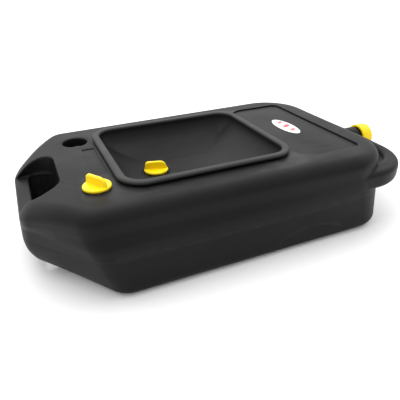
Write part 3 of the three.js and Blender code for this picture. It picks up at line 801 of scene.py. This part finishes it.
# ---------------------------------------------------------------- spout
def spout_neck():
    seat = END_X + BOSS_HEIGHT + GAP
    spigot = NECK_BORE_RADIUS + WALL
    inner_end = END_X - 3 * WALL
    profile = [
        (NECK_BORE_RADIUS, inner_end, 0.5),
        (spigot, inner_end, 0.5),
        (spigot, seat, 0),
        (NECK_RADIUS, seat, 0.4),
        (NECK_RADIUS, SHOULDER_X, 1.6),
        (NECK_THREAD_RADIUS, SHOULDER_X, 0.8),
        (NECK_THREAD_RADIUS, NECK_TIP_X, 1),
        (NECK_BORE_RADIUS, NECK_TIP_X, 0.6),
    ]
    neck = turned("spout_neck_fine", rounded(profile, steps=5), 128)
    start = NECK_TIP_X - NECK_THREAD_FALL
    join(neck, thread_ridge(NECK_THREAD_RADIUS, start, THREAD_TURNS, 0.5))
    return shade(along_spout(neck), 40)


def spout_cap():
    bore = NECK_THREAD_RADIUS + THREAD_PLAY
    skirt = cap_low[0]
    radius = (cap_high[2] - cap_low[2]) / 2
    inside = CAP_TIP_X - CAP_WALL
    profile = [
        (0, inside, 0),
        (bore, inside, 0.6),
        (bore, skirt, 0.4),
        (radius, skirt, 0.9),
        (radius, CAP_TIP_X, 2.2),
        (0, CAP_TIP_X, 0),
    ]
    cap = turned("spout_cap_fine", rounded(profile, steps=8), CAP_RIBS * 8)
    shape_ribs(cap, radius, skirt + 1.6, CAP_TIP_X - 2.6)
    join(cap, thread_ridge(bore, NECK_TIP_X - NECK_THREAD_FALL, THREAD_TURNS))
    return shade(along_spout(cap), 40)


def shape_ribs(cap, radius, low, high):
    """Sinks shallow valleys between the grip ribs round the cap's side, which fade at both edges."""
    subdivide_side(cap, low, high)
    for vertex in cap.data.vertices:
        x, y, z = vertex.co * 1000
        reach = math.hypot(x, y)
        if reach < radius - 0.2 or not low <= z <= high:
            continue
        fade = min(1, (z - low) / 1.2, (high - z) / 1.2)
        valley = 0.5 - 0.5 * math.cos(CAP_RIBS * math.atan2(y, x))
        factor = 1 - CAP_RIB_DEPTH * fade * valley / reach
        vertex.co.x *= factor
        vertex.co.y *= factor


def subdivide_side(cap, low, high):
    """Cuts level rings into the cap's side, so that the ribs can fade."""
    builder = bmesh.new()
    builder.from_mesh(cap.data)
    for z in np.linspace(low, high, 9):
        geometry = [*builder.verts, *builder.edges, *builder.faces]
        bmesh.ops.bisect_plane(builder, geom=geometry, plane_co=(0, 0, z / 1000), plane_no=(0, 0, 1))
    builder.to_mesh(cap.data)
    builder.free()


def spout_cap_liner():
    low, radius = NECK_TIP_X + GAP, NECK_THREAD_RADIUS - 0.2
    section = [
        (0, low, 0),
        (radius, low, 0.5),
        (radius, low + LINER_THICKNESS, 0.5),
        (0, low + LINER_THICKNESS, 0),
    ]
    return shade(along_spout(turned("spout_cap_liner_fine", rounded(section, steps=5))), 40)


# ---------------------------------------------------------------- sticker
def oval_sticker():
    half_length, half_width, half_height = (sticker_high - sticker_low) / 2
    edge = 0.15
    angles = np.linspace(0, 2 * math.pi, 160, endpoint=False)
    rings = []
    for inset, fall in ((0, 2 * half_height), (0, edge), (edge / 3, edge / 3), (edge, 0)):
        x, y = (half_length - inset) * np.cos(angles), (half_width - inset) * np.sin(angles)
        rings.append(ring_at(np.column_stack([x, y]), half_height - fall))
    sticker = lofted("oval_sticker_fine", rings)
    return shade(shifted(sticker, *middle_mm("oval_sticker")), 40)


def motif_drop(name, along, size):
    """A plain oil drop, printed on the sticker: a circle that draws out to a leaning tip."""
    turns = np.linspace(0, 2 * math.pi, 64, endpoint=False)
    reach = np.sin(turns / 2) ** 1.5
    x = -size * np.cos(turns)
    y = size * 0.85 * np.sin(turns) * reach + 0.5 * x
    plan = np.column_stack([x, y])
    drop = lofted(name, [ring_at(plan, -0.02), ring_at(plan, 0.03)])
    middle = middle_mm("oval_sticker")
    return shade(shifted(drop, middle[0], middle[1] + along, sticker_high[2]), 40)


# ---------------------------------------------------------------- materials
def ramp(tree, value, from_low, from_high, to_low, to_high, kind="LINEAR"):
    """Maps a value from one range to another."""
    node = tree.nodes.new("ShaderNodeMapRange")
    node.interpolation_type = kind
    limits = {"From Min": from_low, "From Max": from_high, "To Min": to_low, "To Max": to_high}
    for socket, limit in limits.items():
        node.inputs[socket].default_value = limit
    tree.links.new(value, node.inputs["Value"])
    return node.outputs["Result"]


class Nodes:
    """A short way to build one material's node tree."""

    def __init__(self, name):
        self.material = bpy.data.materials.new(name)
        self.material.use_nodes = True
        self.tree = self.material.node_tree
        self.shader = self.tree.nodes["Principled BSDF"]
        self.place = self.add("ShaderNodeTexCoord").outputs["Object"]

    def add(self, kind, **settings):
        node = self.tree.nodes.new(kind)
        for name, value in settings.items():
            setattr(node, name, value)
        return node

    def link(self, source, target):
        self.tree.links.new(source, target)

    def noise(self, scale, detail=3.0, roughness=0.5, stretch=None):
        """Noise with scale features to a metre, drawn out along an axis where stretch asks."""
        place = self.place
        if stretch:
            mapping = self.add("ShaderNodeMapping")
            mapping.inputs["Scale"].default_value = stretch
            self.link(place, mapping.inputs["Vector"])
            place = mapping.outputs["Vector"]
        node = self.add("ShaderNodeTexNoise")
        node.inputs["Scale"].default_value = scale
        node.inputs["Detail"].default_value = detail
        node.inputs["Roughness"].default_value = roughness
        self.link(place, node.inputs["Vector"])
        return node.outputs["Fac"]

    def spread(self, value, from_low, from_high, to_low, to_high):
        return ramp(self.tree, value, from_low, from_high, to_low, to_high)

    def maths(self, operation, a, b):
        node = self.add("ShaderNodeMath", operation=operation)
        for socket, value in zip(node.inputs, (a, b)):
            if isinstance(value, (int, float)):
                socket.default_value = value
            else:
                self.link(value, socket)
        return node.outputs["Value"]

    def blend(self, share, low_colour, high_colour):
        node = self.add("ShaderNodeMix", data_type="RGBA")
        self.link(share, node.inputs["Factor"])
        for socket, colour in (("A", low_colour), ("B", high_colour)):
            target = [s for s in node.inputs if s.name == socket and s.type == "RGBA"][0]
            if isinstance(colour, tuple):
                target.default_value = (*colour, 1)
            else:
                self.link(colour, target)
        return [s for s in node.outputs if s.type == "RGBA"][0]

    def bump(self, height, depth_mm, strength, below=None):
        node = self.add("ShaderNodeBump")
        node.inputs["Distance"].default_value = depth_mm / 1000
        node.inputs["Strength"].default_value = strength
        self.link(height, node.inputs["Height"])
        if below:
            self.link(below, node.inputs["Normal"])
        return node.outputs["Normal"]

    def edges(self, low, high):
        """1 on convex edges and 0 elsewhere."""
        pointiness = self.add("ShaderNodeNewGeometry").outputs["Pointiness"]
        return self.spread(pointiness, low, high, 0, 1)


def black_plastic(name, painted_highlight_height=None):
    """Moulded black polyethylene: fine grain, slow waviness and scuffs. Convex edges are lightened,
    partly as rubbed wear and partly as a painted highlight.
    What stands above the given height is lightened all over, as a painted highlight on the rim's crown."""
    nodes = Nodes(name)
    cloud = nodes.noise(9, 4)
    colour = nodes.blend(
        nodes.spread(cloud, 0.3, 0.7, 0, 1),
        (0.0045, 0.0046, 0.0048),
        (0.0075, 0.0076, 0.0078),
    )
    patches = nodes.spread(nodes.noise(60, 5), 0.3, 0.7, 0.3, 1)
    # Convex edges are lightened: partly rubbed wear, partly a painted highlight on the edges.
    edge_wear_and_highlight = nodes.maths("MULTIPLY", nodes.edges(0.51, 0.6), patches)
    colour = nodes.blend(edge_wear_and_highlight, colour, (0.03, 0.03, 0.031))
    # Painted highlight: what stands above the given height, the rim's crown, is lightened.
    if painted_highlight_height:
        height = nodes.add("ShaderNodeSeparateXYZ")
        nodes.link(nodes.place, height.inputs["Vector"])
        low, high = (painted_highlight_height - 3) / 1000, (painted_highlight_height + 1) / 1000
        painted_rim_highlight = nodes.spread(height.outputs["Z"], low, high, 0, 1)
        patches = nodes.spread(nodes.noise(40, 4), 0.3, 0.7, 0.8, 1)
        painted_rim_highlight = nodes.maths("MULTIPLY", painted_rim_highlight, patches)
        colour = nodes.blend(painted_rim_highlight, colour, (0.038, 0.038, 0.039))
    scuffs = nodes.spread(nodes.noise(30, 6, 0.65, stretch=(0.35, 2.2, 1)), 0.58, 0.72, 0, 0.09)
    roughness = nodes.spread(nodes.noise(14, 5), 0.3, 0.7, 0.43, 0.53)
    nodes.link(colour, nodes.shader.inputs["Base Color"])
    nodes.link(nodes.maths("ADD", roughness, scuffs), nodes.shader.inputs["Roughness"])
    nodes.shader.inputs["Specular IOR Level"].default_value = 0.13
    waves = nodes.bump(nodes.noise(16, 2), 0.8, 0.25)
    grain = nodes.bump(nodes.noise(1400, 2, 0.6), 0.12, 0.35, below=waves)
    nodes.link(grain, nodes.shader.inputs["Normal"])
    return nodes.material


def yellow_plastic():
    """Bright injection-moulded yellow, a little glossier than the tank."""
    nodes = Nodes("yellow_plastic")
    cloud = nodes.spread(nodes.noise(45, 4), 0.3, 0.7, 0, 1)
    colour = nodes.blend(cloud, (0.86, 0.6, 0.0), (0.92, 0.66, 0.0))
    dirt = nodes.spread(nodes.noise(260, 6, 0.7), 0.62, 0.78, 0, 0.35)
    colour = nodes.blend(dirt, colour, (0.6, 0.36, 0.005))
    roughness = nodes.spread(nodes.noise(120, 5), 0.3, 0.7, 0.3, 0.44)
    nodes.link(colour, nodes.shader.inputs["Base Color"])
    nodes.link(roughness, nodes.shader.inputs["Roughness"])
    nodes.shader.inputs["Specular IOR Level"].default_value = 0.3
    grain = nodes.bump(nodes.noise(2600, 2, 0.6), 0.05, 0.3)
    nodes.link(grain, nodes.shader.inputs["Normal"])
    return nodes.material


def plain_finish(name, low_colour, high_colour, roughness, scale, grain_mm):
    """A finish for the small parts: clouded colour, uneven gloss and a fine grain."""
    nodes = Nodes(name)
    cloud = nodes.spread(nodes.noise(scale, 5), 0.3, 0.7, 0, 1)
    nodes.link(nodes.blend(cloud, low_colour, high_colour), nodes.shader.inputs["Base Color"])
    uneven = nodes.spread(nodes.noise(scale * 3, 4), 0.3, 0.7, roughness - 0.05, roughness + 0.06)
    nodes.link(uneven, nodes.shader.inputs["Roughness"])
    grain = nodes.bump(nodes.noise(scale * 30, 3, 0.6), grain_mm, 0.4)
    nodes.link(grain, nodes.shader.inputs["Normal"])
    return nodes.material


def floor_finish():
    nodes = Nodes("pale_floor")
    cloud = nodes.spread(nodes.noise(1.5, 3), 0.3, 0.7, 0, 1)
    colour = nodes.blend(cloud, (0.86, 0.86, 0.86), (0.88, 0.88, 0.88))
    nodes.link(colour, nodes.shader.inputs["Base Color"])
    nodes.shader.inputs["Roughness"].default_value = 0.85
    nodes.shader.inputs["Specular IOR Level"].default_value = 0.2
    return nodes.material


# ---------------------------------------------------------------- assembly
def finish_piece(piece, material, body, slot, *replaced):
    piece.data.materials.clear()
    piece.data.materials.append(material)
    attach(piece, body)
    if replaced:
        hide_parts(*replaced)


def build_pan():
    black = black_plastic("black_plastic")
    # This tray material paints a highlight on the rim's crown.
    tray_black_painted_highlight = black_plastic("tray_plastic_painted_highlight", painted_highlight_height=RIM_TOP - 1)
    yellow = yellow_plastic()
    rubber = plain_finish("seal_rubber", (0.012, 0.012, 0.012), (0.022, 0.022, 0.022), 0.7, 120, 0.05)
    foam = plain_finish("white_foam", (0.68, 0.67, 0.62), (0.78, 0.77, 0.72), 0.85, 300, 0.12)
    vinyl = plain_finish("sticker_vinyl", (0.82, 0.82, 0.82), (0.88, 0.88, 0.88), 0.28, 60, 0.01)
    print_red = plain_finish("sticker_print", (0.55, 0.015, 0.02), (0.68, 0.025, 0.03), 0.3, 200, 0.01)

    upper, lower = tank_shells()
    finish_piece(upper, black, "tank", "black_plastic", "tank_upper_shell")
    finish_piece(lower, black, "tank", "black_plastic", "tank_lower_shell")
    finish_piece(basin_tray(), tray_black_painted_highlight, "tank", "black_plastic", "basin_tray")
    finish_piece(spout_neck(), black, "tank", "black_plastic", "spout_neck")
    finish_piece(oval_sticker(), vinyl, "tank", "sticker_vinyl", "oval_sticker")
    drops = ((-DROP_SPACING, SIDE_DROP), (0, MIDDLE_DROP), (DROP_SPACING, SIDE_DROP))
    for number, (along, size) in enumerate(drops):
        drop = motif_drop(f"sticker_drop_{number + 1}", along, size)
        finish_piece(drop, print_red, "tank", "sticker_vinyl")

    seats = {"basin_plug": (DRAIN_X, 0, DRAIN_SEAT), "vent_plug": (VENT_X, -VENT_Y, DECK)}
    bushes = {"basin_plug": "basin_drain_bush", "vent_plug": "vent_bush"}
    turns = {"basin_plug": BASIN_PLUG_TURN, "vent_plug": VENT_PLUG_TURN}
    for name, seat in seats.items():
        plug = shifted(wing_plug(name + "_fine", turns[name]), *seat)
        seal = shifted(plug_seal(name + "_seal_fine"), *seat)
        bush = shifted(plug_bush(bushes[name] + "_fine"), *seat)
        finish_piece(plug, yellow, name, "yellow_plastic", name)
        finish_piece(seal, rubber, name + "_carrier", "seal_rubber", name + "_seal")
        finish_piece(bush, black, "tank", "black_plastic", bushes[name])

    finish_piece(spout_cap(), yellow, "spout_cap", "yellow_plastic", "spout_cap")
    finish_piece(spout_cap_liner(), foam, "spout_cap_carrier", "white_foam", "spout_cap_liner")


# ---------------------------------------------------------------- stage, light and camera
def pale_floor():
    reach = FLOOR_REACH * 1000
    corners = [(x, y, 0) for x, y, _ in rectangle(-reach, reach, -reach, reach)]
    floor = mesh_object("floor", corners, [(0, 1, 2, 3)])
    floor.data.materials.append(floor_finish())


def overhead_light():
    """A square soft box aimed at the pan."""
    light = bpy.data.lights.new("overhead", "AREA")
    light.shape = "SQUARE"
    light.size = OVERHEAD_SIZE
    light.energy = OVERHEAD_POWER
    lamp = bpy.data.objects.new("overhead", light)
    bpy.context.scene.collection.objects.link(lamp)
    lamp.location = OVERHEAD_PLACE
    lamp.rotation_euler = (-Vector(OVERHEAD_PLACE)).to_track_quat("-Z", "Y").to_euler()


def surround_light():
    """A bright tent, darker at the horizon and at the front."""
    world = bpy.data.worlds.new("surround")
    bpy.context.scene.world = world
    world.use_nodes = True
    tree = world.node_tree
    direction = tree.nodes.new("ShaderNodeTexCoord").outputs["Generated"]
    parts = tree.nodes.new("ShaderNodeSeparateXYZ")
    tree.links.new(direction, parts.inputs["Vector"])
    height = ramp(tree, parts.outputs["Z"], 0.1, 0.6, HORIZON_LIGHT, ZENITH_LIGHT, "SMOOTHSTEP")
    depth = ramp(tree, parts.outputs["Y"], -1, 1, FRONT_LIGHT, BACK_LIGHT)
    strength = tree.nodes.new("ShaderNodeMath")
    strength.operation = "MULTIPLY"
    tree.links.new(height, strength.inputs[0])
    tree.links.new(depth, strength.inputs[1])
    background = tree.nodes["Background"]
    background.inputs["Color"].default_value = (1, 1, 1, 1)
    tree.links.new(strength.outputs["Value"], background.inputs["Strength"])


def photo_camera():
    """A camera at the photograph's viewing angle."""
    pitch, heading, roll = map(math.radians, (CAMERA_PITCH, CAMERA_HEADING, CAMERA_ROLL))
    camera = bpy.data.cameras.new("camera")
    camera.sensor_width = 36
    camera.lens = CAMERA_LENS
    camera.clip_start = 0.01
    view = bpy.data.objects.new("camera", camera)
    bpy.context.scene.collection.objects.link(view)
    level = Vector((math.sin(heading), math.cos(heading), 0))
    ahead = level * math.cos(pitch) - Vector((0, 0, math.sin(pitch)))
    right = Vector((math.cos(heading), -math.sin(heading), 0))
    up = right.cross(ahead)
    rolled_right = right * math.cos(roll) + up * math.sin(roll)
    rolled_up = up * math.cos(roll) - right * math.sin(roll)
    turn = Matrix((rolled_right, rolled_up, -ahead)).transposed()
    view.matrix_world = Matrix.Translation(CAMERA_PLACE) @ turn.to_4x4()
    bpy.context.scene.camera = view


photo_camera()
build_pan()
pale_floor()
overhead_light()
surround_light()
bpy.context.scene.view_settings.view_transform = "Standard"
